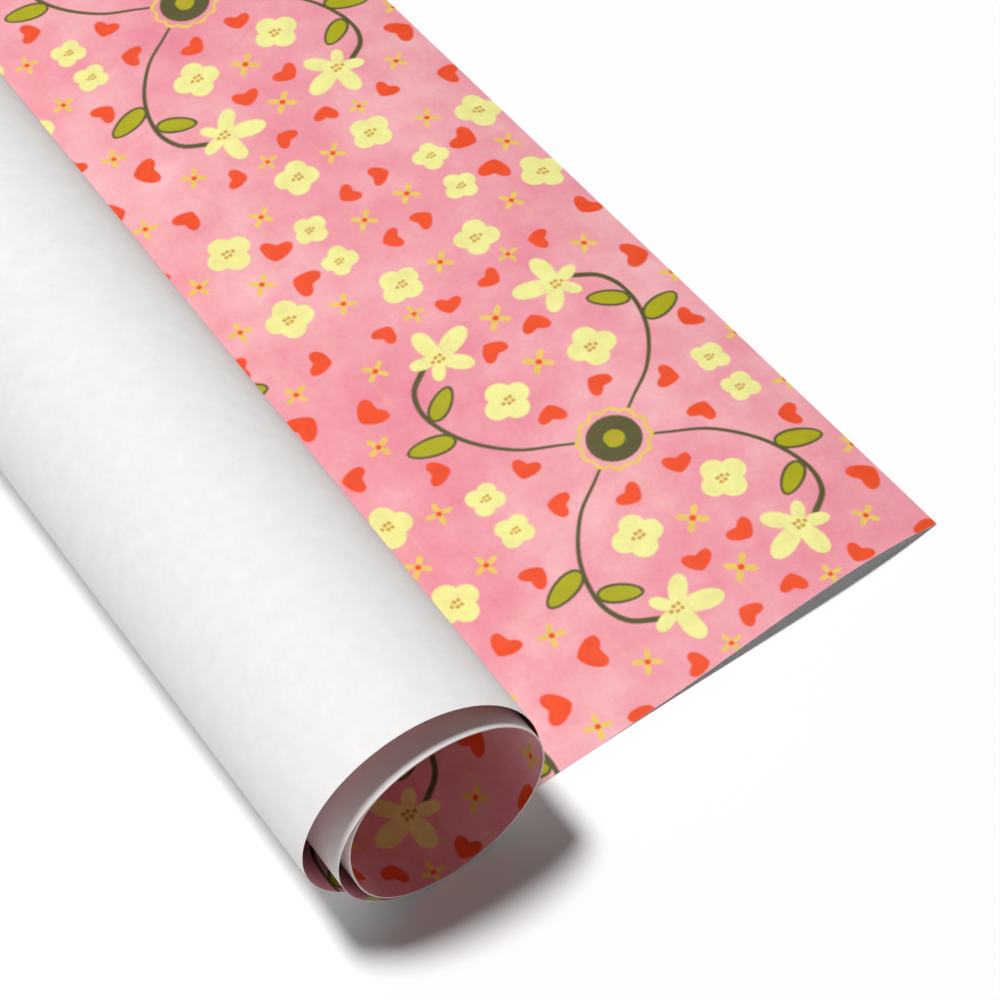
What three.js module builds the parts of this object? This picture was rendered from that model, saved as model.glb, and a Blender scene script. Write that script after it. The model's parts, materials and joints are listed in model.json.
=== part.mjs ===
// A roll of gift wrap with no core: one sheet of paper, wound with its printed side inwards,
// and its free end rolled out flat over the table, printed side up.
//
// Millimetres, +Z up. X runs from the roll towards the free edge, Y along the roll and away from
// its open near end. The sheet is divided along its rulings, so that it can curl, unroll and
// telescope, and each division is one thin closed solid.

import * as THREE from 'three';

const TURN = 2 * Math.PI;
const degrees = THREE.MathUtils.degToRad;

// The sheet
const SHEET_WIDTH = 762;      // along the roll
const PAPER = 0.35;           // modelled thickness
const JOINT_GAP = 0.3;        // clear gap between two neighbouring pieces of the sheet

// The leaf: the flat free end
const LEAF_LENGTH = 154.8;    // along the near edge, from the foot of the roll to the free edge
const STRIP_COUNT = 9;
const STRIP_LENGTH = 12;
const HUMP_HEIGHT = 3.6;      // the leaf lifts this far between its base and its free edge
const HUMP_SKEW = 0.54;       // below 1 moves the top of the hump towards the free edge

// The roll
const SKEW = degrees(2);      // the roll lies this far out of square with the leaf
const OUTER_RADIUS = 30.4;    // of the outer wrap at the near end
const TAPER = 0.0002;         // growth of the outer wrap per millimetre towards the far end
const WRAP_PITCH = 0.75;      // from one wrap to the next where they lie close
const COIL_LEFT_GAP = 5.8;    // the coil inside has slipped away from the outer wrap
const COIL_TOP_GAP = 7.9;
const CRESCENT_GAP = 3;       // from the third wrap on, the coil stands off here at the left
const CRESCENT_FROM = degrees(20);
const CRESCENT_TO = degrees(150);
const WRAP_NAMES = ['outer', 'second', 'third', 'fourth'];
const ARC_COUNT = 6;          // strips of the outer wrap that can be laid flat
const ARC_ANGLE = degrees(10);
const INNER_END = degrees(212);   // where the sheet ends inside the innermost wrap
const PANEL_ANGLE = degrees(60);  // the longest arc of the sheet in one piece
const FACET_ANGLE = degrees(6);
const LEAF_FACETS = 2;            // along one strip of the leaf
const TANGENT_STEP = 0.01;        // radians either side of a point of the roll
const ROUNDING = 0.001;           // so that a whole number of facets isn't rounded up

const PRINT_PINK = 0xf39aaa;
const PAPER_WHITE = 0xf3f2f0;
const PAPER_ROUGHNESS = 0.7;

const rollAxis = new THREE.Vector3(Math.sin(SKEW), Math.cos(SKEW), 0);
const rollAcross = new THREE.Vector3(Math.cos(SKEW), -Math.sin(SKEW), 0);
const humpLength = STRIP_COUNT * STRIP_LENGTH;
const leafBaseEnd = LEAF_LENGTH - humpLength;

// Seen along the roll, the outer wrap is a circle and the coil inside it an ellipse that lies
// against it at the right and on it at the foot. Both count their angle from the foot, up the
// left side.
const coil = {
  centre: (COIL_LEFT_GAP - WRAP_PITCH) / 2,
  foot: PAPER / 2 + WRAP_PITCH,
  halfWidth: OUTER_RADIUS - (COIL_LEFT_GAP + WRAP_PITCH) / 2,
  halfHeight: OUTER_RADIUS - (COIL_TOP_GAP + WRAP_PITCH) / 2,
};

function outerPoint(angle, along) {
  const radius = OUTER_RADIUS * (1 + TAPER * along);
  return new THREE.Vector2(-radius * Math.sin(angle), PAPER / 2 + radius * (1 - Math.cos(angle)));
}

// How far the sheet lies inside the coil's ellipse. It gains one pitch a turn, and from the third
// wrap on it also stands off at the left.
function coilInset(angle) {
  const spiral = WRAP_PITCH * (angle / TURN - 1);
  if (angle < 2 * TURN) return spiral;
  const share = ((angle % TURN) - CRESCENT_FROM) / (CRESCENT_TO - CRESCENT_FROM);
  return spiral + CRESCENT_GAP * Math.sin(Math.PI * THREE.MathUtils.clamp(share, 0, 1)) ** 2;
}

function coilPoint(angle, inset) {
  const sine = Math.sin(angle);
  const cosine = Math.cos(angle);
  const inward = new THREE.Vector2(coil.halfHeight * sine, coil.halfWidth * cosine).normalize();
  const x = coil.centre - coil.halfWidth * sine;
  const y = coil.foot + coil.halfHeight * (1 - cosine);
  return new THREE.Vector2(x, y).addScaledVector(inward, inset);
}

// The sheet at an angle that counts on through every wrap. The left half of the outer wrap keeps
// to its circle, and the right half runs in to the coil.
function rollPoint(angle, along) {
  if (angle >= TURN) return coilPoint(angle, coilInset(angle));
  const run = THREE.MathUtils.smoothstep(angle, Math.PI, TURN);
  return outerPoint(angle, along).lerp(coilPoint(angle, 0), run);
}

// A slab of paper is a flat box that a placing function bends. start and end are stations along
// the sheet, counted from the free edge inwards; lift is the height over the middle of the paper
// towards the printed side; share runs across the sheet, from 0 at the near edge to 1 at the far.
function makeSlab(name, start, end, segments, color, place) {
  const geometry = new THREE.BoxGeometry(1, 1, 1, segments, 1, 1);
  const position = geometry.attributes.position;
  for (let i = 0; i < position.count; i++) {
    const station = THREE.MathUtils.lerp(start, end, position.getX(i) + 0.5);
    const lift = PAPER * position.getY(i);
    const share = position.getZ(i) + 0.5;
    position.setXYZ(i, ...place(station, lift, share).toArray());
  }
  geometry.computeVertexNormals();
  const material = new THREE.MeshStandardMaterial({ color, roughness: PAPER_ROUGHNESS, metalness: 0 });
  const mesh = new THREE.Mesh(geometry, material);
  mesh.name = name;
  return mesh;
}

function humpHeight(distanceFromFreeEdge) {
  const t = THREE.MathUtils.clamp(distanceFromFreeEdge / humpLength, 0, 1);
  return HUMP_HEIGHT * Math.sin(Math.PI * t ** HUMP_SKEW) ** 2;
}

// On the leaf, a station is the distance from the free edge.
function placeLeaf(station, lift, share) {
  const height = PAPER / 2 + humpHeight(station);
  return new THREE.Vector3(LEAF_LENGTH - station, SHEET_WIDTH * share, height + lift);
}

// The base of the leaf ends in a ruling of the roll, so its left side is out of square.
function placeLeafBase(station, lift, share) {
  const y = SHEET_WIDTH * share;
  const foot = y * Math.tan(SKEW) + JOINT_GAP / 2;
  const x = THREE.MathUtils.lerp(leafBaseEnd - JOINT_GAP / 2, foot, station);
  return new THREE.Vector3(x, y, PAPER / 2 + lift);
}

// On the roll, a station is the angle. The skew makes the near edge climb towards the open end
// through the first wrap, and the coil inside is wound square.
function placeRoll(station, lift, share) {
  const advance = OUTER_RADIUS * Math.tan(SKEW) * Math.min(station, TURN);
  const along = (SHEET_WIDTH / Math.cos(SKEW)) * share - advance;
  const point = rollPoint(station, along);
  const before = rollPoint(station - TANGENT_STEP, along);
  const tangent = rollPoint(station + TANGENT_STEP, along).sub(before).normalize();
  return new THREE.Vector3()
    .addScaledVector(rollAcross, point.x + tangent.y * lift)
    .addScaledVector(rollAxis, along)
    .setZ(point.y - tangent.x * lift);
}

function makeLeafStrip(index) {
  const end = humpLength - (index - 1) * STRIP_LENGTH;
  const start = end - STRIP_LENGTH;
  const freeEdgeGap = index === STRIP_COUNT ? 0 : JOINT_GAP / 2;
  const name = `leaf_strip_${index}`;
  return makeSlab(name, start + freeEdgeGap, end - JOINT_GAP / 2, LEAF_FACETS, PRINT_PINK, placeLeaf);
}

function makeArc(name, from, to, color) {
  const gap = JOINT_GAP / 2 / OUTER_RADIUS;
  const segments = Math.ceil((to - from) / FACET_ANGLE - ROUNDING);
  return makeSlab(name, from + gap, to - gap, segments, color, placeRoll);
}

function makePanels(name, from, to, color) {
  const count = Math.ceil((to - from) / PANEL_ANGLE - ROUNDING);
  const angle = (to - from) / count;
  return Array.from({ length: count }, (_, i) =>
    makeArc(`${name}_${i + 1}`, from + i * angle, from + (i + 1) * angle, color));
}

function makeSheet() {
  const sheet = new THREE.Group();
  sheet.add(makeSlab('leaf_base', 0, 1, 1, PRINT_PINK, placeLeafBase));
  for (let i = 1; i <= STRIP_COUNT; i++) sheet.add(makeLeafStrip(i));
  for (let i = 1; i <= ARC_COUNT; i++) {
    sheet.add(makeArc(`roll_strip_${i}`, (i - 1) * ARC_ANGLE, i * ARC_ANGLE, PAPER_WHITE));
  }
  WRAP_NAMES.forEach((name, wrap) => {
    const leftStart = wrap === 0 ? ARC_COUNT * ARC_ANGLE : wrap * TURN;
    const top = wrap * TURN + Math.PI;
    sheet.add(...makePanels(`${name}_wrap_left`, leftStart, top, PAPER_WHITE));
    sheet.add(...makePanels(`${name}_wrap_right`, top, (wrap + 1) * TURN, PAPER_WHITE));
  });
  const innerStart = WRAP_NAMES.length * TURN;
  sheet.add(...makePanels('inner_end', innerStart, innerStart + INNER_END, PRINT_PINK));
  return sheet;
}

// The part's origin is the middle of its footprint, on the table.
const sheet = makeSheet();
const box = new THREE.Box3().setFromObject(sheet);
const middle = box.getCenter(new THREE.Vector3());
sheet.position.set(-middle.x, -middle.y, -box.min.z);

const wrappingPaperRoll = new THREE.Group();
wrappingPaperRoll.add(sheet);

export default wrappingPaperRoll;
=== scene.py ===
# A roll of gift wrap with no core. One sheet of paper, printed on one side, is wound with its
# printed side inwards, and its free end lies rolled out on a pale floor with the print up.
#
# Metres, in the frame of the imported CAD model. The sheet is cut along its rulings into pieces that
# follow the CAD bodies. A point of the sheet is (u, v): u counts from the free edge inwards and v
# across the sheet from its near edge.

import json
import math

import bpy
import numpy as np
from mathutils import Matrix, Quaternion, Vector
from mathutils.geometry import delaunay_2d_cdt

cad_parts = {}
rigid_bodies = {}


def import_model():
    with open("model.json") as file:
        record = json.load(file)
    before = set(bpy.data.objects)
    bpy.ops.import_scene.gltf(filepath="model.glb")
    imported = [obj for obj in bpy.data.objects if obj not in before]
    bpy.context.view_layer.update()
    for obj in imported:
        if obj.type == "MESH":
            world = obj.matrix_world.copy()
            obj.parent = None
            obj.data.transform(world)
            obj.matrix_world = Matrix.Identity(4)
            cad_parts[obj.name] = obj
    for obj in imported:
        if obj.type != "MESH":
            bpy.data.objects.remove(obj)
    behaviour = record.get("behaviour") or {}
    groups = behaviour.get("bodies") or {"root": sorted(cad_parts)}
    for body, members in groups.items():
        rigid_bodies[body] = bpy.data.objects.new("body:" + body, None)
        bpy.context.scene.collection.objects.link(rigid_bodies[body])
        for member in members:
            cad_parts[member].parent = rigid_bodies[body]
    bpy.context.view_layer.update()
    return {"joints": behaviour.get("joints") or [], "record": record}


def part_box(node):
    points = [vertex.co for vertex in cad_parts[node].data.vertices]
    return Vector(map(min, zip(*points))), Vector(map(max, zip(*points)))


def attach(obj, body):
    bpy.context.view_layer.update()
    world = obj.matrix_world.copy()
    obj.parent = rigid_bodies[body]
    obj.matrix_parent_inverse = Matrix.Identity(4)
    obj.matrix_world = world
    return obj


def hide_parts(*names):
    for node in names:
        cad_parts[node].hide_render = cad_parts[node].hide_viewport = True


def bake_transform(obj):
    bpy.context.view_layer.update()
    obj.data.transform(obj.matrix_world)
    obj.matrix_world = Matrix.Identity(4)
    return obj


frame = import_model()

MM = 0.001
TURN = 2 * math.pi

# Camera. It looks at a point of the floor given from the foot of the roll.
LOOK_AT = (74.7 * MM, 73.3 * MM)
CAMERA_AZIMUTH = -31.68
CAMERA_ELEVATION = 52.94
CAMERA_ROLL = -5.48
CAMERA_DISTANCE = 758.2 * MM
LENS = 108.9
SENSOR = 36

# Floor and light. The key is a broad sun high behind the open end. The fill is a disc of light.
# Both are given by where they stand from the middle of the open end.
FLOOR_SIZE = 12
FLOOR_WHITE = 0.98
WORLD_STRENGTH = 0.1
KEY_FROM = (-0.12, 0.33, 1)
KEY_SPREAD = math.radians(13)
KEY_STRENGTH = 2.95
FILL_FROM = (-0.7, -1.5, 0.4)
FILL_SIZE = 1
FILL_POWER = 2.4

# The sheet, as in the CAD model, with the paper and the winding at their true thickness
PAPER = 0.09 * MM
WRAP_PITCH = 0.13 * MM
REST_HEIGHT = 0.105 * MM      # of the middle of the paper. It has room to sag when it unrolls
HUMP_HEIGHT = 3.8 * MM        # the leaf lifts this far between its base and its free edge
HUMP_SKEW = 0.54
OUTER_RADIUS = 30.4 * MM
TAPER = 0.2                   # growth of the outer wrap per metre towards the far end
COIL_LEFT_GAP = 5.8 * MM      # the coil inside has slipped away from the outer wrap
COIL_TOP_GAP = 7.9 * MM
CRESCENT_GAP = 3 * MM         # from the third wrap on, the coil stands off here at the left
CRESCENT_FROM = math.radians(20)
CRESCENT_TO = math.radians(150)
ARC_ANGLE = math.radians(10)
ARC_COUNT = 6
HALF_WRAPS = 8
SHEET_END = 4 * TURN + math.radians(212)

# How the pieces are cut and meshed
BASE_SEAM = 6 * MM            # the leaf's last seam, this far from the foot of the roll
FACET_ANGLE = math.radians(4)
LEAF_FACET = 2 * MM
FACET_SLACK = 0.01            # a stretch may be this many facets too long for its facet count
CROSS_COUNT = 24
WELD = 1e-7
INSIDE_OUTLINES = 1           # modes of delaunay_2d_cdt
WHOLE_HULL = 0

# How finely the sheet's shape is worked out
WINDING_STEPS = 4000
RULING_ROUNDS = 12            # until a ruling's shift has settled
SLOPE_STEP = 0.1 * MM
TANGENT_STEP = 0.01           # radians

joints = {joint["name"]: joint for joint in frame["joints"]}
bodies = frame["record"]["behaviour"]["bodies"]

foot = Vector(joints["unroll_1"]["pos_m"])
foot.z = 0
roll_axis = -Vector(joints["telescope_1"]["axis"]).normalized()
roll_across = Vector((roll_axis.y, -roll_axis.x, 0))
skew_slope = roll_axis.x / roll_axis.y

strip_low, strip_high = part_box("leaf_strip_9")
SHEET_WIDTH = strip_high.y - strip_low.y
LEAF_LENGTH = strip_high.x - foot.x
STRIP_LENGTH = joints["curl_2"]["pos_m"][0] - joints["curl_1"]["pos_m"][0]
STRIP_COUNT = 9
HUMP_LENGTH = STRIP_COUNT * STRIP_LENGTH


# ---- The shape of the sheet -------------------------------------------------------------------

def smoothstep(value, low, high):
    t = np.clip((value - low) / (high - low), 0, 1)
    return t * t * (3 - 2 * t)


def outer_profile(angle, along):
    """The outer wrap seen along the roll: a circle that stands on the floor."""
    radius = OUTER_RADIUS * (1 + TAPER * along)
    return np.array([-radius * np.sin(angle), REST_HEIGHT + radius * (1 - np.cos(angle))])


def coil_inset(angle):
    """How far the sheet lies inside the coil's ellipse."""
    spiral = WRAP_PITCH * np.maximum(angle / TURN - 1, 0)
    share = np.clip((angle % TURN - CRESCENT_FROM) / (CRESCENT_TO - CRESCENT_FROM), 0, 1)
    crescent = np.where(angle >= 2 * TURN, CRESCENT_GAP * np.sin(math.pi * share) ** 2, 0)
    return spiral + crescent


def coil_profile(angle):
    """The coil seen along the roll: an ellipse that lies at the right and on the foot."""
    half_width = OUTER_RADIUS - (COIL_LEFT_GAP + WRAP_PITCH) / 2
    half_height = OUTER_RADIUS - (COIL_TOP_GAP + WRAP_PITCH) / 2
    sine = np.sin(angle)
    cosine = np.cos(angle)
    inward = np.array([half_height * sine, half_width * cosine])
    inward /= np.linalg.norm(inward, axis=0)
    centre = (COIL_LEFT_GAP - WRAP_PITCH) / 2
    base = REST_HEIGHT + WRAP_PITCH
    ellipse = np.array([centre - half_width * sine, base + half_height * (1 - cosine)])
    return ellipse + inward * coil_inset(angle)


def roll_profile(angle, along):
    """The outer wrap's left half keeps to its circle, and its right half runs in to the coil."""
    run = smoothstep(angle, math.pi, TURN)
    return outer_profile(angle, along) * (1 - run) + coil_profile(angle) * run


def profile_lengths():
    """Angles through the roll, and the length of paper from the foot to each of them."""
    angles = np.linspace(0, SHEET_END, WINDING_STEPS)
    points = roll_profile(angles, 0 * angles)
    steps = np.linalg.norm(np.diff(points, axis=1), axis=0)
    return angles, np.concatenate([[0], np.cumsum(steps)])


wound_angles, wound_lengths = profile_lengths()


def length_to(angle):
    return float(np.interp(angle, wound_angles, wound_lengths))


def ruling_shift(length):
    """How far a ruling's u falls per metre of v: the sheet winds out of square, then square."""
    return skew_slope * (1 - smoothstep(length, length_to(TURN / 2), length_to(1.5 * TURN)))


def wound_length(u, v):
    """The length of paper from the foot of the roll, below 0 on the leaf."""
    length = u - LEAF_LENGTH
    for _ in range(RULING_ROUNDS):
        length = u - LEAF_LENGTH + v * ruling_shift(length)
    return length


def hump(u):
    """How far the leaf has lifted off the floor. It is steepest near its free edge."""
    t = np.clip(u / HUMP_LENGTH, 0, 1)
    return HUMP_HEIGHT * np.sin(math.pi * t ** HUMP_SKEW) ** 2


def place_on_leaf(u, v, lift):
    """Places and printed side's normals, for points of the leaf."""
    rise = (hump(u - SLOPE_STEP) - hump(u + SLOPE_STEP)) / (2 * SLOPE_STEP)
    normals = np.stack([-rise, 0 * u, 0 * u + 1], axis=1)
    normals /= np.linalg.norm(normals, axis=1)[:, None]
    middle = np.stack([foot.x + LEAF_LENGTH - u, foot.y + v, REST_HEIGHT + hump(u)], axis=1)
    return middle + normals * lift, normals


def place_on_roll(angle, v, lift):
    """Places and printed side's normals, for points wound this far round the roll."""
    climb = OUTER_RADIUS * skew_slope * np.minimum(angle, TURN)
    along = v / roll_axis.y - climb
    tangent = roll_profile(angle + TANGENT_STEP, along) - roll_profile(angle - TANGENT_STEP, along)
    tangent /= np.linalg.norm(tangent, axis=0)
    across = np.array(roll_across)
    axis = np.array(roll_axis)
    upright = np.array([0, 0, 1])
    normals = np.outer(tangent[1], across) - np.outer(tangent[0], upright)
    point = roll_profile(angle, along)
    middle = np.outer(point[0], across) + np.outer(along, axis) + np.outer(point[1], upright)
    return np.array(foot) + middle + normals * lift, normals


def place(u, v, lift):
    """Where points of the sheet are, and the normals of its printed side there. lift counts from
    the middle of the paper towards the printed side."""
    length = wound_length(u, v)
    angle = np.interp(length, wound_lengths, wound_angles)
    leaf, leaf_normals = place_on_leaf(u, v, lift)
    roll, roll_normals = place_on_roll(angle, v, lift)
    on_leaf = (length < 0)[:, None]
    return np.where(on_leaf, leaf, roll), np.where(on_leaf, leaf_normals, roll_normals)


# ---- The print --------------------------------------------------------------------------------
# A generic print of hearts, blossoms and vines. Every motif is a closed outline in (u, v).

REPEAT = 203 * MM
PINWHEEL = (47.3 * MM, 69 * MM)           # the middle of one pinwheel
SOFT_EDGE = 0.6 * MM

HEART_POINTS = 24
BLOSSOM_POINTS = 40
STAR_POINTS = 50
SPARK_POINTS = 24
LEAF_POINTS = 20
DISC_POINTS = 24
SCALLOP_POINTS = 72
SPECK_POINTS = 6
VINE_POINTS = 30
BEFORE_END = 1e-9             # keeps a path's last point in its last span


def srgb(text):
    """A hex colour as linear red, green and blue."""
    values = [int(text[i:i + 2], 16) / 255 for i in (0, 2, 4)]
    return [v / 12.92 if v <= 0.04045 else ((v + 0.055) / 1.055) ** 2.4 for v in values]


HEART_RED = srgb("f2532a")
CREAM = srgb("f4f29c")
TAN = srgb("d09a46")
GOLD = srgb("edcc5e")
OLIVE = srgb("5d5a35")
LEAF_GREEN = srgb("b0ae20")
BARE = None                   # takes away the ink under it


def turned(outline, angle, centre):
    """The outline turned about its own middle and moved to the centre."""
    cosine = math.cos(angle)
    sine = math.sin(angle)
    return outline @ np.array([[cosine, sine], [-sine, cosine]]) + np.array(centre)


def polar(count, radius):
    """A closed outline whose radius is a function of the angle."""
    angles = np.arange(count) * TURN / count
    return np.stack([np.cos(angles), np.sin(angles)], axis=1) * radius(angles)[:, None]


def heart_outline(size):
    """A plump heart with a shallow notch. Its waves give a shape 33 units wide."""
    t = np.arange(HEART_POINTS) * TURN / HEART_POINTS
    x = 14 * np.sin(t) - 2.5 * np.sin(3 * t)
    y = 12 * np.cos(t) - 4 * np.cos(2 * t) - 1.8 * np.cos(3 * t)
    return np.stack([x, y], axis=1) * size / 33


def blossom_outline(size):
    """Four round lobes, one of them a little longer."""
    def radius(a):
        lobes = np.maximum(np.abs(np.cos(a)), np.abs(np.sin(a)))
        return size / 2 * lobes * (1 + 0.05 * np.cos(a + 1))
    return polar(BLOSSOM_POINTS, radius)


def star_outline(size):
    """Five petals, longest about bearing 0 and shortest opposite."""
    def radius(a):
        petal = 0.34 + 0.66 * np.abs(np.cos(2.5 * a)) ** 1.3
        return size / 2 * petal * (0.8 + 0.22 * np.cos(a + 0.2))
    return polar(STAR_POINTS, radius)


def spark_outline(size):
    """Four narrow petals."""
    return polar(SPARK_POINTS, lambda a: size / 2 * (0.15 + 0.85 * np.cos(2 * a) ** 2))


def leaf_outline(length, width):
    """An ellipse that is a little fuller towards one end."""
    t = np.arange(LEAF_POINTS) * TURN / LEAF_POINTS
    across = width / 2 * np.sin(t) * (1 - 0.15 * np.cos(t))
    return np.stack([length / 2 * np.cos(t), across], axis=1)


def disc_outline(radius):
    return polar(DISC_POINTS, lambda a: 0 * a + radius)


def scalloped_outline(radius):
    """A disc with twelve round bulges."""
    return polar(SCALLOP_POINTS, lambda a: radius * (0.93 + 0.12 * np.abs(np.cos(6 * a))))


def smooth_path(points, count):
    """A Catmull-Rom curve through a few points, as count points."""
    before = 2 * points[0] - points[1]
    after = 2 * points[-1] - points[-2]
    points = np.array([before, *points, after])
    path = []
    for share in np.linspace(0, len(points) - 3 - BEFORE_END, count):
        i = int(share)
        t = share - i
        a, b, c, d = points[i:i + 4]
        path.append(0.5 * (2 * b + (c - a) * t + (2 * a - 5 * b + 4 * c - d) * t ** 2
                           + (3 * b - a - 3 * c + d) * t ** 3))
    return np.array(path)


def stroke_outline(path, start_width, end_width):
    """The outline of a stroke along a path, which widens or narrows evenly."""
    ahead = np.gradient(path, axis=0)
    ahead /= np.linalg.norm(ahead, axis=1)[:, None]
    side = np.stack([-ahead[:, 1], ahead[:, 0]], axis=1)
    half = np.linspace(start_width, end_width, len(path))[:, None] / 2
    return np.concatenate([path - side * half, (path + side * half)[::-1]])


# One quadrant of the repeat, in millimetres and degrees from the middle of a pinwheel:
# (distance, bearing, size, turn). Bearing 0 is towards the free edge and 90 along the roll.
HEARTS = [(23.6, 18, 7.7, 50), (17.9, 65, 7.7, 200), (45.4, 27, 7.9, 290), (43, 81, 7.9, 165),
          (63.3, 84, 7.2, 25), (70.4, 69, 7.2, 240), (66, 29, 8.3, 120), (63.5, 48, 9.6, 75),
          (71, 6, 9.2, 325), (91.2, 87, 7.2, 100)]
BLOSSOMS = [(30.3, 64, 13.6, 80), (61.7, 14, 13.6, 12), (77.6, 81, 12.6, 65),
            (36.2, 10, 10.4, 40), (81.7, 5, 10.4, 20)]
SPARKS = [(48.5, 12, 7.8, 10), (76.5, 15, 7.8, 35), (60, 38, 7.8, 70), (66.9, 59.5, 7.8, 55),
          (68.2, 77, 6.8, 5)]
AXIS_SPARKS = [(32, 90, 9, 45), (51, 90, 9, 45), (76, 90, 8, 45), (61, 0, 8, 45), (94.5, 0, 8, 45)]
STAR_FLOWER = (19.2, 50.1, 24, 160)       # along u, along v, size, turn
VINE = [(5, 3), (12, 7.5), (21, 13.5), (29, 24), (32.6, 36), (30.5, 45), (24, 50)]
VINE_WIDTHS = (0.7, 1.7)
# along u, along v, turn, length, width
LEAVES = [(27, 37.8, 146, 12, 6), (36.8, 28.2, 17, 13.5, 6.6)]
LEAF_BORDER = 0.8
PINWHEEL_SCALLOPS = ((9.6, GOLD), (8.6, BARE))
PINWHEEL_DISCS = ((7.3, OLIVE), (2.8, LEAF_GREEN), (0.8, TAN))
SPECK_COUNT = 5
SPECK_RADIUS = 0.045          # in sizes of the flower
STAR_SPECKS = 0.6             # a star's specks are spread as on a blossom of this share of its size
SPARK_MIDDLE = 0.1            # radius, in sizes of the spark


def at_bearing(distance, bearing):
    """A motif's middle, in metres."""
    return (distance * MM * math.cos(math.radians(bearing)),
            distance * MM * math.sin(math.radians(bearing)))


def speckled(outline, centre, size):
    """A cream flower with tan specks in its middle."""
    layers = [(outline, CREAM)]
    for offset in polar(SPECK_COUNT, lambda a: size * (0.085 + 0.03 * np.cos(2 * a))):
        speck = polar(SPECK_POINTS, lambda a: 0 * a + SPECK_RADIUS * size)
        layers.append((speck + offset + np.array(centre), TAN))
    return layers


def spark(centre, size, turn):
    """A gold spark with a red middle."""
    return [(turned(spark_outline(size * MM), math.radians(turn), centre), GOLD),
            (disc_outline(SPARK_MIDDLE * size * MM) + np.array(centre), HEART_RED)]


def quadrant_layers():
    """The motifs of one quadrant in painting order."""
    start_width, end_width = np.array(VINE_WIDTHS) * MM
    vine = smooth_path(np.array(VINE) * MM, VINE_POINTS)
    layers = [(stroke_outline(vine, start_width, end_width), OLIVE)]
    for along_u, along_v, turn, length, width in LEAVES:
        for trim, color in ((0, OLIVE), (2 * LEAF_BORDER, LEAF_GREEN)):
            outline = leaf_outline((length - trim) * MM, (width - trim) * MM)
            centre = (along_u * MM, along_v * MM)
            layers.append((turned(outline, math.radians(turn), centre), color))
    for distance, bearing, size, turn in SPARKS:
        layers += spark(at_bearing(distance, bearing), size, turn)
    for distance, bearing, size, turn in HEARTS:
        centre = at_bearing(distance, bearing)
        outline = turned(heart_outline(size * MM), math.radians(turn), centre)
        layers.append((outline, HEART_RED))
    for distance, bearing, size, turn in BLOSSOMS:
        centre = at_bearing(distance, bearing)
        outline = turned(blossom_outline(size * MM), math.radians(turn), centre)
        layers += speckled(outline, centre, size * MM)
    along_u, along_v, size, turn = STAR_FLOWER
    centre = (along_u * MM, along_v * MM)
    outline = turned(star_outline(size * MM), math.radians(turn), centre)
    layers += speckled(outline, centre, size * STAR_SPECKS * MM)
    return layers


def pinwheel_layers():
    """All motifs around one pinwheel, relative to its middle, in painting order."""
    layers = []
    quadrant = quadrant_layers()
    for mirror in ((1, 1), (1, -1), (-1, 1), (-1, -1)):
        layers += [(outline * mirror, color) for outline, color in quadrant]
    for distance, bearing, size, turn in AXIS_SPARKS:
        for side in (1, -1):
            layers += spark(at_bearing(side * distance, bearing), size, turn)
    for radius, color in PINWHEEL_SCALLOPS:
        layers.append((scalloped_outline(radius * MM), color))
    for radius, color in PINWHEEL_DISCS:
        layers.append((disc_outline(radius * MM), color))
    return layers


def pinwheel_middles(u_low, u_high):
    """The middles of the pinwheels on and near a stretch of the sheet. Every other row along the
    roll is set off by half a repeat."""
    middles = []
    row_step = REPEAT / 2
    for row in range(-1, math.ceil(SHEET_WIDTH / row_step) + 1):
        for column in range(-1, math.ceil(u_high / REPEAT) + 2):
            u = PINWHEEL[0] + (column + row % 2 / 2) * REPEAT
            if u_low - REPEAT / 2 < u < u_high + REPEAT / 2:
                middles.append(np.array([u, PINWHEEL[1] + row * row_step]))
    return middles


def print_layers(u_low, u_high):
    """Every motif that touches a stretch of the sheet."""
    pinwheel = pinwheel_layers()
    found = []
    for middle in pinwheel_middles(u_low, u_high):
        for outline, color in pinwheel:
            moved = outline + middle
            low = moved.min(0)
            high = moved.max(0)
            if high[0] > u_low and low[0] < u_high and high[1] > 0 and low[1] < SHEET_WIDTH:
                found.append((moved, color))
    return found


def inset(outline, distance):
    """The outline moved inwards."""
    ahead = np.roll(outline, -1, axis=0) - np.roll(outline, 1, axis=0)
    ahead /= np.linalg.norm(ahead, axis=1)[:, None]
    following = np.roll(outline, -1, axis=0)
    area = np.sum(outline[:, 0] * following[:, 1] - outline[:, 1] * following[:, 0])
    inward = np.stack([-ahead[:, 1], ahead[:, 0]], axis=1) * np.sign(area)
    return outline + inward * distance


def coverage(points, outline):
    """1 inside the outline and 0 outside it, with a soft edge between."""
    start = outline
    end = np.roll(outline, -1, axis=0)
    edge = end - start
    offset = points[:, None] - start[None]
    share = np.clip((offset * edge).sum(2) / (edge ** 2).sum(1), 0, 1)
    gap = np.linalg.norm(offset - share[:, :, None] * edge, axis=2).min(1)
    spans = (start[:, 1] > points[:, 1:]) != (end[:, 1] > points[:, 1:])
    rise = np.where(edge[:, 1] == 0, 1, edge[:, 1])
    crossing = start[:, 0] + edge[:, 0] * (points[:, 1:] - start[:, 1]) / rise
    inside = (spans & (points[:, :1] < crossing)).sum(1) % 2 == 1
    return np.clip(0.5 + np.where(inside, gap, -gap) / SOFT_EDGE, 0, 1)


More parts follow.
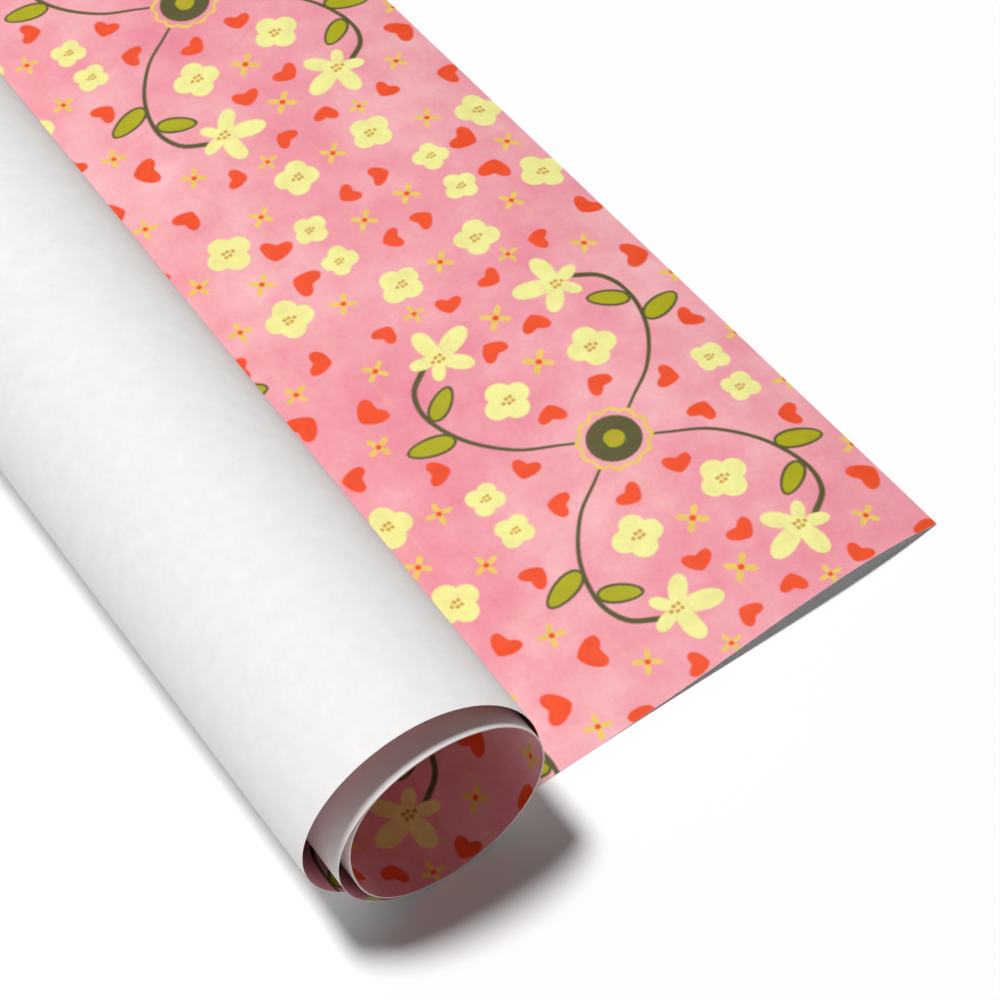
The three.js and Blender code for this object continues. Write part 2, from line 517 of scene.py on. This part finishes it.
def paint(points, layers):
    """Ink colour times coverage, and coverage, at points of the sheet."""
    ink = np.zeros((len(points), 4))
    order = np.argsort(points[:, 0])
    sorted_u = points[order, 0]
    for outline, color in layers:
        low = outline.min(0) - SOFT_EDGE
        high = outline.max(0) + SOFT_EDGE
        near = order[np.searchsorted(sorted_u, low[0]):np.searchsorted(sorted_u, high[0])]
        near = near[(points[near, 1] > low[1]) & (points[near, 1] < high[1])]
        if len(near) == 0:
            continue
        cover = coverage(points[near], outline)[:, None]
        over = np.array([0, 0, 0, 0] if color is BARE else [*color, 1])
        ink[near] = ink[near] * (1 - cover) + over * cover
    return ink


# ---- Meshes -----------------------------------------------------------------------------------

def line_grid(lines):
    """Points along straight lines across the sheet, and the edges that follow the lines. A line
    is its u at the near edge and its u at the far edge."""
    points, edges = [], []
    for near, far in lines:
        first = len(points)
        for step in range(CROSS_COUNT + 1):
            share = step / CROSS_COUNT
            points.append((near + (far - near) * share, SHEET_WIDTH * share))
        edges += [(first + i, first + i + 1) for i in range(CROSS_COUNT)]
    return points, edges


def triangulate(points, edges, *options):
    """Triangles that keep the given edges, and which given points each of their points is. Given a
    third option, delaunay_2d_cdt makes the whole hull, whatever the mode is."""
    corners = [Vector(point) for point in points]
    flat, _, faces, sources, _, _ = delaunay_2d_cdt(corners, edges, [], *options)
    return np.array([tuple(point) for point in flat]), np.array(faces), sources


def printed_side(lines, rings):
    """Triangles for the sheet between the first and the last line. Their edges follow the lines
    and the rings, which are closed outlines."""
    points, edges = line_grid(lines)
    row = CROSS_COUNT + 1
    for i in range(len(lines) - 1):
        edges += [(i * row, (i + 1) * row), ((i + 1) * row - 1, (i + 2) * row - 1)]
    for ring in rings:
        first, count = len(points), len(ring)
        points += [tuple(p) for p in ring]
        edges += [(first + i, first + (i + 1) % count) for i in range(count)]
    flat, faces, _ = triangulate(points, edges, WHOLE_HULL, WELD, False)
    middle = flat[faces].mean(1)
    share = middle[:, 1] / SHEET_WIDTH
    first = lines[0][0] + (lines[0][1] - lines[0][0]) * share
    last = lines[-1][0] + (lines[-1][1] - lines[-1][0]) * share
    inside = (middle[:, 0] > first) & (middle[:, 0] < last) & (share > 0) & (share < 1)
    used, faces = np.unique(faces[inside], return_inverse=True)
    return flat[used], faces.reshape(-1, 3)


def open_edges(faces):
    """Directed edges that only one triangle has."""
    directed = np.concatenate([faces[:, [0, 1]], faces[:, [1, 2]], faces[:, [2, 0]]])
    keys = directed.min(1) * (faces.max() + 1) + directed.max(1)
    _, first, uses = np.unique(keys, return_index=True, return_counts=True)
    return directed[first[uses == 1]].tolist()


def plain_side(lines, front, rim):
    """The plain side of a piece: coarser triangles inside the printed side's own rim. Returns its
    points, its triangles and where each rim point went."""
    names = sorted({point for edge in rim for point in edge})
    place_in = {name: i for i, name in enumerate(names)}
    points, edges = line_grid(lines[1:-1])
    edges += [(len(points) + place_in[a], len(points) + place_in[b]) for a, b in rim]
    rim_start = len(points)
    points += [tuple(front[name]) for name in names]
    flat, faces, sources = triangulate(points, edges, INSIDE_OUTLINES, WELD)
    went = {names[origin - rim_start]: i for i, origins in enumerate(sources)
            for origin in origins if origin >= rim_start}
    return flat, faces, went


def add_attribute(mesh, name, kind, field, values):
    """Gives every point of the mesh a value that the materials can read."""
    attribute = mesh.attributes.new(name, kind, "POINT")
    attribute.data.foreach_set(field, np.asarray(values, np.float32).ravel())


def paper_piece(name, lines):
    """A closed slab of paper between the first and the last line, printed on one side."""
    ends = [u for line in (lines[0], lines[-1]) for u in line]
    layers = print_layers(min(ends), max(ends))
    rings = [inset(outline, side * SOFT_EDGE / 2) for outline, _ in layers for side in (-1, 1)]
    front, front_faces = printed_side(lines, rings)
    rim = open_edges(front_faces)
    back, back_faces, went = plain_side(lines, front, rim)

    front_places, front_normals = place(front[:, 0], front[:, 1], PAPER / 2)
    back_places, back_normals = place(back[:, 0], back[:, 1], -PAPER / 2)
    offset = len(front)
    walls = [(a, b, offset + went[b], offset + went[a]) for a, b in rim]
    faces = [*front_faces[:, ::-1].tolist(), *(back_faces + offset).tolist(), *walls]

    mesh = bpy.data.meshes.new(name)
    mesh.from_pydata(np.concatenate([front_places, back_places]).tolist(), [], faces)
    face_counts = [len(front_faces), len(back_faces), len(walls)]
    mesh.polygons.foreach_set("material_index", np.repeat([0, 1, 2], face_counts))
    for material in (printed_paper, plain_back, cut_edge):
        mesh.materials.append(material)
    flat = np.concatenate([front, back])
    add_attribute(mesh, "sheet_place", "FLOAT_VECTOR", "vector", np.pad(flat, ((0, 0), (0, 1))))
    ink = np.concatenate([paint(front, layers), np.zeros((len(back), 4))])
    add_attribute(mesh, "ink", "FLOAT_COLOR", "color", ink)
    smooth_normals(mesh, np.concatenate([front_normals, -back_normals]), len(faces) - len(walls))
    piece = bpy.data.objects.new(name, mesh)
    bpy.context.scene.collection.objects.link(piece)
    return piece


def smooth_normals(mesh, point_normals, smooth_faces):
    """Gives both sides of the paper the sheet's own normals, and leaves the cut edges flat."""
    mesh.update()
    loops = np.empty(len(mesh.loops), int)
    mesh.loops.foreach_get("vertex_index", loops)
    starts = np.empty(len(mesh.polygons), int)
    mesh.polygons.foreach_get("loop_start", starts)
    face_normals = np.empty(len(mesh.polygons) * 3)
    mesh.polygons.foreach_get("normal", face_normals)
    normals = point_normals[loops]
    first_wall = starts[smooth_faces]
    normals[first_wall:] = np.repeat(face_normals.reshape(-1, 3)[smooth_faces:], 4, axis=0)
    mesh.normals_split_custom_set(normals.tolist())


# ---- Materials --------------------------------------------------------------------------------

class Shader:
    """A material's node tree, with short calls for the nodes used here."""

    def __init__(self, name, roughness):
        self.material = bpy.data.materials.new(name)
        self.material.use_nodes = True
        self.tree = self.material.node_tree
        self.surface = self.tree.nodes["Principled BSDF"]
        self.surface.inputs["Roughness"].default_value = roughness
        self.place = self.attribute("sheet_place").outputs["Vector"]

    def node(self, kind, inputs=(), **settings):
        made = self.tree.nodes.new(kind)
        for key, value in settings.items():
            setattr(made, key, value)
        for key, value in dict(inputs).items():
            if isinstance(value, bpy.types.NodeSocket):
                self.tree.links.new(value, made.inputs[key])
            else:
                made.inputs[key].default_value = value
        return made

    def attribute(self, name):
        return self.node("ShaderNodeAttribute", attribute_name=name)

    def noise(self, kind, vector=None):
        """Soft noise from 0 to 1."""
        size, detail, roughness = kind
        inputs = {"Vector": vector or self.place, "Scale": 1 / size}
        inputs |= {"Detail": detail, "Roughness": roughness}
        return self.node("ShaderNodeTexNoise", inputs).outputs["Fac"]

    def math(self, operation, first, second):
        return self.node("ShaderNodeMath", {0: first, 1: second}, operation=operation).outputs[0]

    def sum(self, first, second):
        return self.math("ADD", first, second)

    def scaled(self, value, factor):
        return self.math("MULTIPLY", value, factor)

    def vector_math(self, operation, inputs):
        return self.node("ShaderNodeVectorMath", inputs, operation=operation).outputs[0]

    def ramp(self, factor, stops):
        made = self.node("ShaderNodeValToRGB", {0: factor})
        elements = made.color_ramp.elements
        while len(elements) < len(stops):
            elements.new(0.5)
        for element, (position, color) in zip(elements, stops):
            element.position = position
            element.color = (*color, 1)
        return made.outputs["Color"]

    def multiplied(self, first, second):
        """One colour times another."""
        made = self.node("ShaderNodeMix", {0: 1.0}, data_type="RGBA", blend_type="MULTIPLY")
        self.tree.links.new(first, made.inputs[6])
        self.tree.links.new(second, made.inputs[7])
        return made.outputs[2]

    def set(self, socket, value):
        self.tree.links.new(value, self.surface.inputs[socket])

    def bump(self, height, distance, under=None):
        inputs = {"Height": height, "Distance": distance, "Strength": 1}
        if under is not None:
            inputs["Normal"] = under
        return self.node("ShaderNodeBump", inputs).outputs["Normal"]


# Noises, as size of their features, detail and roughness
CLOUDS = (70 * MM, 5, 0.62)
PATCHES = (14 * MM, 4, 0.6)
GRAIN = (1.1 * MM, 3, 0.7)
INK_CLOUDS = (6 * MM, 4, 0.6)
GLOSS = (3 * MM, 3, 0.5)
PRINT_FIBRES = (0.35 * MM, 3, 0.65)
BACK_CLOUDS = (5 * MM, 4, 0.6)
BACK_FIBRES = (0.5 * MM, 4, 0.7)
BACK_RELIEF = (0.4 * MM, 4, 0.7)
EDGE_PATCHES = (1.5 * MM, 3, 0.7)
EDGE_GRAIN = (0.2 * MM, 2, 0.5)

# Ramps over noises
GROUND = [(0.36, srgb("e8869a")), (0.5, srgb("f0a2ac")), (0.62, srgb("f6bdc2"))]
INK_SHADE = [(0.3, (0.9, 0.88, 0.86)), (0.6, (1, 1, 1))]
BACK_WHITE = [(0.3, srgb("f1f0ee")), (0.7, srgb("f7f6f5"))]
FIBRE_SHADE = [(0.35, (0.97, 0.97, 0.97)), (0.5, (1, 1, 1))]
EDGE_COLORS = [(0.35, srgb("eccdd2")), (0.55, srgb("f6f2f0"))]

# Shares of the three noises in the ground
CLOUD_SHARE = 0.62
PATCH_SHARE = 0.28
GRAIN_SHARE = 0.1

# Heights of the relief, and finishes
PRINT_FIBRE_HEIGHT = 0.01 * MM
INK_HEIGHT = 0.01 * MM
BACK_FIBRE_HEIGHT = 0.015 * MM
EDGE_GRAIN_HEIGHT = 0.02 * MM
FIBRE_STRETCH = (1, 0.25, 1)
PRINT_ROUGHNESS = 0.4
PRINT_ROUGHNESS_SPREAD = 0.16
PRINT_SPECULAR = 0.12
BACK_ROUGHNESS = 0.75
BACK_SPECULAR = 0.3
EDGE_ROUGHNESS = 0.85
FLOOR_ROUGHNESS = 0.95


def make_printed_paper():
    """Satin paper with a mottled watercolour ground. Ink lies over it where the mesh carries it."""
    shader = Shader("printed_paper", PRINT_ROUGHNESS)
    clouds = shader.noise(CLOUDS)
    patches = shader.noise(PATCHES)
    grain = shader.noise(GRAIN)
    wash = shader.sum(shader.scaled(clouds, CLOUD_SHARE), shader.scaled(patches, PATCH_SHARE))
    wash = shader.sum(wash, shader.scaled(grain, GRAIN_SHARE))
    ground = shader.ramp(wash, GROUND)
    ink = shader.attribute("ink")
    bare = shader.math("SUBTRACT", 1, ink.outputs["Alpha"])
    ground = shader.vector_math("SCALE", {0: ground, "Scale": bare})
    shade = shader.ramp(shader.noise(INK_CLOUDS), INK_SHADE)
    pigment = shader.multiplied(ink.outputs["Color"], shade)
    shader.set("Base Color", shader.vector_math("ADD", {0: ground, 1: pigment}))
    gloss = shader.scaled(shader.noise(GLOSS), PRINT_ROUGHNESS_SPREAD)
    shader.set("Roughness", shader.sum(gloss, PRINT_ROUGHNESS))
    fibres = shader.bump(shader.noise(PRINT_FIBRES), PRINT_FIBRE_HEIGHT)
    shader.set("Normal", shader.bump(ink.outputs["Alpha"], INK_HEIGHT, under=fibres))
    shader.surface.inputs["Specular IOR Level"].default_value = PRINT_SPECULAR
    return shader.material


def make_plain_back():
    """Uncoated white paper with faint cloudy formation and fibres."""
    shader = Shader("plain_back", BACK_ROUGHNESS)
    color = shader.ramp(shader.noise(BACK_CLOUDS), BACK_WHITE)
    mapping = {"Vector": shader.place, "Scale": FIBRE_STRETCH}
    stretched = shader.node("ShaderNodeMapping", mapping).outputs[0]
    fibre = shader.ramp(shader.noise(BACK_FIBRES, stretched), FIBRE_SHADE)
    shader.set("Base Color", shader.multiplied(color, fibre))
    relief = shader.noise(BACK_RELIEF, stretched)
    shader.set("Normal", shader.bump(relief, BACK_FIBRE_HEIGHT))
    shader.surface.inputs["Specular IOR Level"].default_value = BACK_SPECULAR
    return shader.material


def make_cut_edge():
    """The cut through the paper: white, with the print's pink along it in places."""
    shader = Shader("cut_edge", EDGE_ROUGHNESS)
    shader.set("Base Color", shader.ramp(shader.noise(EDGE_PATCHES), EDGE_COLORS))
    shader.set("Normal", shader.bump(shader.noise(EDGE_GRAIN), EDGE_GRAIN_HEIGHT))
    return shader.material


def make_floor_material():
    """Seamless white paper backdrop."""
    material = bpy.data.materials.new("backdrop")
    material.use_nodes = True
    surface = material.node_tree.nodes["Principled BSDF"]
    surface.inputs["Base Color"].default_value = (FLOOR_WHITE, FLOOR_WHITE, FLOOR_WHITE, 1)
    surface.inputs["Roughness"].default_value = FLOOR_ROUGHNESS
    surface.inputs["Specular IOR Level"].default_value = 0
    return material


# ---- The pieces -------------------------------------------------------------------------------

def vector_at(angle):
    """The point halfway along the roll, in the middle of the paper."""
    position, _ = place_on_roll(np.array([angle]), np.array([SHEET_WIDTH / 2]), 0)
    return Vector(position[0])


def roll_line(length):
    """The ruling that this length of paper reaches, as its u at the near and at the far edge."""
    near = LEAF_LENGTH + length
    return near, near - SHEET_WIDTH * float(ruling_shift(np.array(length)))


def roll_lines(start, end):
    count = math.ceil((end - start) / FACET_ANGLE - FACET_SLACK)
    return [roll_line(length_to(start + (end - start) * i / count)) for i in range(count + 1)]


def leaf_lines(start, end):
    count = math.ceil((end - start) / LEAF_FACET - FACET_SLACK)
    return [(start + (end - start) * i / count,) * 2 for i in range(count + 1)]


def finish_piece(piece, slot, *replaced_bodies):
    """Hides the CAD nodes of the bodies that the piece stands for. The slot is not used."""
    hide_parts(*[node for body in replaced_bodies for node in bodies[body]])


def make_leaf():
    """One piece across each curl joint. The last reaches the free edge, the first the base seam."""
    half = STRIP_LENGTH / 2
    for i in range(STRIP_COUNT, 0, -1):
        joint = joints[f"curl_{i}"]
        middle = HUMP_LENGTH - (i - 1) * STRIP_LENGTH
        start = 0 if i == STRIP_COUNT else middle - half
        lines = leaf_lines(start, middle + half)
        if i == 1:
            lines = leaf_lines(start, LEAF_LENGTH - SHEET_WIDTH * skew_slope - 2 * BASE_SEAM)
            lines.append(roll_line(-BASE_SEAM))
        name = f"printed_leaf_{i}"
        piece = paper_piece(name, lines)
        replaced = [joint["child"]] + ([joint["parent"]] if i == 1 else [])
        finish_piece(piece, "printed_paper", *replaced)
        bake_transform(piece)


def make_unrolling_strips():
    """One narrow piece across each of the first unroll joints."""
    strips = []
    for i in range(1, ARC_COUNT + 1):
        joint = joints[f"unroll_{i}"]
        centre = (i - 1) * ARC_ANGLE
        lines = roll_lines(max(centre - ARC_ANGLE / 2, 0), centre + ARC_ANGLE / 2)
        if i == 1:
            lines.insert(0, roll_line(-BASE_SEAM))
        piece = paper_piece(f"wrap_foot_{i}", lines)
        finish_piece(piece, "plain_back", joint["child"])
        blend_at_ruling(piece, joint, centre)
        strips.append(piece)
    return strips


def blend_at_ruling(piece, joint, angle):
    """Works out the unroll joint's ruling and the way ahead over one arc of the roll, and bakes the
    piece's transform into its mesh.
    """
    ruling = Vector(joint["axis"]).normalized()
    ahead = vector_at(angle + ARC_ANGLE / 2) - vector_at(angle - ARC_ANGLE / 2)
    ahead -= ruling * ahead.dot(ruling)
    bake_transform(piece)


def make_wraps(strips):
    """The rest of the roll: a piece up to the first side, one for each half wrap, and the end."""
    joint = joints[f"unroll_{ARC_COUNT + 1}"]
    centre = ARC_COUNT * ARC_ANGLE
    lines = roll_lines(centre - ARC_ANGLE / 2, TURN / 4)
    side = paper_piece("wrap_side", lines)
    finish_piece(side, "plain_back", joint["child"])
    blend_at_ruling(side, joint, centre)
    for i in range(1, HALF_WRAPS + 1):
        joint = joints[f"telescope_{i}"]
        start = (2 * i - 1) * TURN / 4
        lines = roll_lines(start, start + TURN / 2)
        half = paper_piece(f"wrap_half_{i}", lines)
        finish_piece(half, "plain_back", joint["child"])
        reach = vector_at(start + TURN / 2) - vector_at(start)
        reach = roll_across * reach.dot(roll_across)
        low = vector_at(start)
        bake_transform(half)
    lines = roll_lines(start + TURN / 2, SHEET_END)
    end = paper_piece("wrap_inner_end", lines)
    finish_piece(end, "printed_paper", joint["child"])
    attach(end, joint["child"])


# ---- Camera, floor and light ------------------------------------------------------------------

def make_camera():
    data = bpy.data.cameras.new("camera")
    data.lens = LENS
    data.sensor_width = SENSOR
    camera = bpy.data.objects.new("camera", data)
    bpy.context.scene.collection.objects.link(camera)
    azimuth = math.radians(CAMERA_AZIMUTH)
    elevation = math.radians(CAMERA_ELEVATION)
    level = math.cos(elevation)
    back = Vector((math.sin(azimuth) * level, -math.cos(azimuth) * level, math.sin(elevation)))
    camera.location = foot + Vector((*LOOK_AT, 0)) + back * CAMERA_DISTANCE
    camera.rotation_mode = "QUATERNION"
    roll = Quaternion((0, 0, 1), math.radians(CAMERA_ROLL))
    camera.rotation_quaternion = (-back).to_track_quat("-Z", "Y") @ roll
    bpy.context.scene.camera = camera


def make_floor():
    half = FLOOR_SIZE / 2
    mesh = bpy.data.meshes.new("floor")
    corners = [(-half, -half, 0), (half, -half, 0), (half, half, 0), (-half, half, 0)]
    mesh.from_pydata(corners, [], [(0, 1, 2, 3)])
    mesh.materials.append(make_floor_material())
    floor = bpy.data.objects.new("floor", mesh)
    bpy.context.scene.collection.objects.link(floor)


def make_light(data, offset):
    """Puts a light at an offset from the middle of the open end and points it there."""
    light = bpy.data.objects.new(data.name, data)
    bpy.context.scene.collection.objects.link(light)
    light.location = foot + Vector((0, 0, OUTER_RADIUS)) + Vector(offset)
    light.rotation_mode = "QUATERNION"
    light.rotation_quaternion = Vector(offset).to_track_quat("Z", "Y")


def make_key():
    data = bpy.data.lights.new("key", "SUN")
    data.angle = KEY_SPREAD
    data.energy = KEY_STRENGTH
    make_light(data, KEY_FROM)


def make_fill():
    data = bpy.data.lights.new("fill", "AREA")
    data.shape = "DISK"
    data.size = FILL_SIZE
    data.energy = FILL_POWER
    make_light(data, FILL_FROM)


def make_world():
    world = bpy.data.worlds.new("world")
    world.use_nodes = True
    inputs = world.node_tree.nodes["Background"].inputs
    inputs["Color"].default_value = (1, 1, 1, 1)
    inputs["Strength"].default_value = WORLD_STRENGTH
    bpy.context.scene.world = world


make_camera()
make_floor()
make_world()
make_key()
make_fill()
bpy.context.scene.view_settings.view_transform = "Standard"

printed_paper = make_printed_paper()
plain_back = make_plain_back()
cut_edge = make_cut_edge()
make_leaf()
make_wraps(make_unrolling_strips())
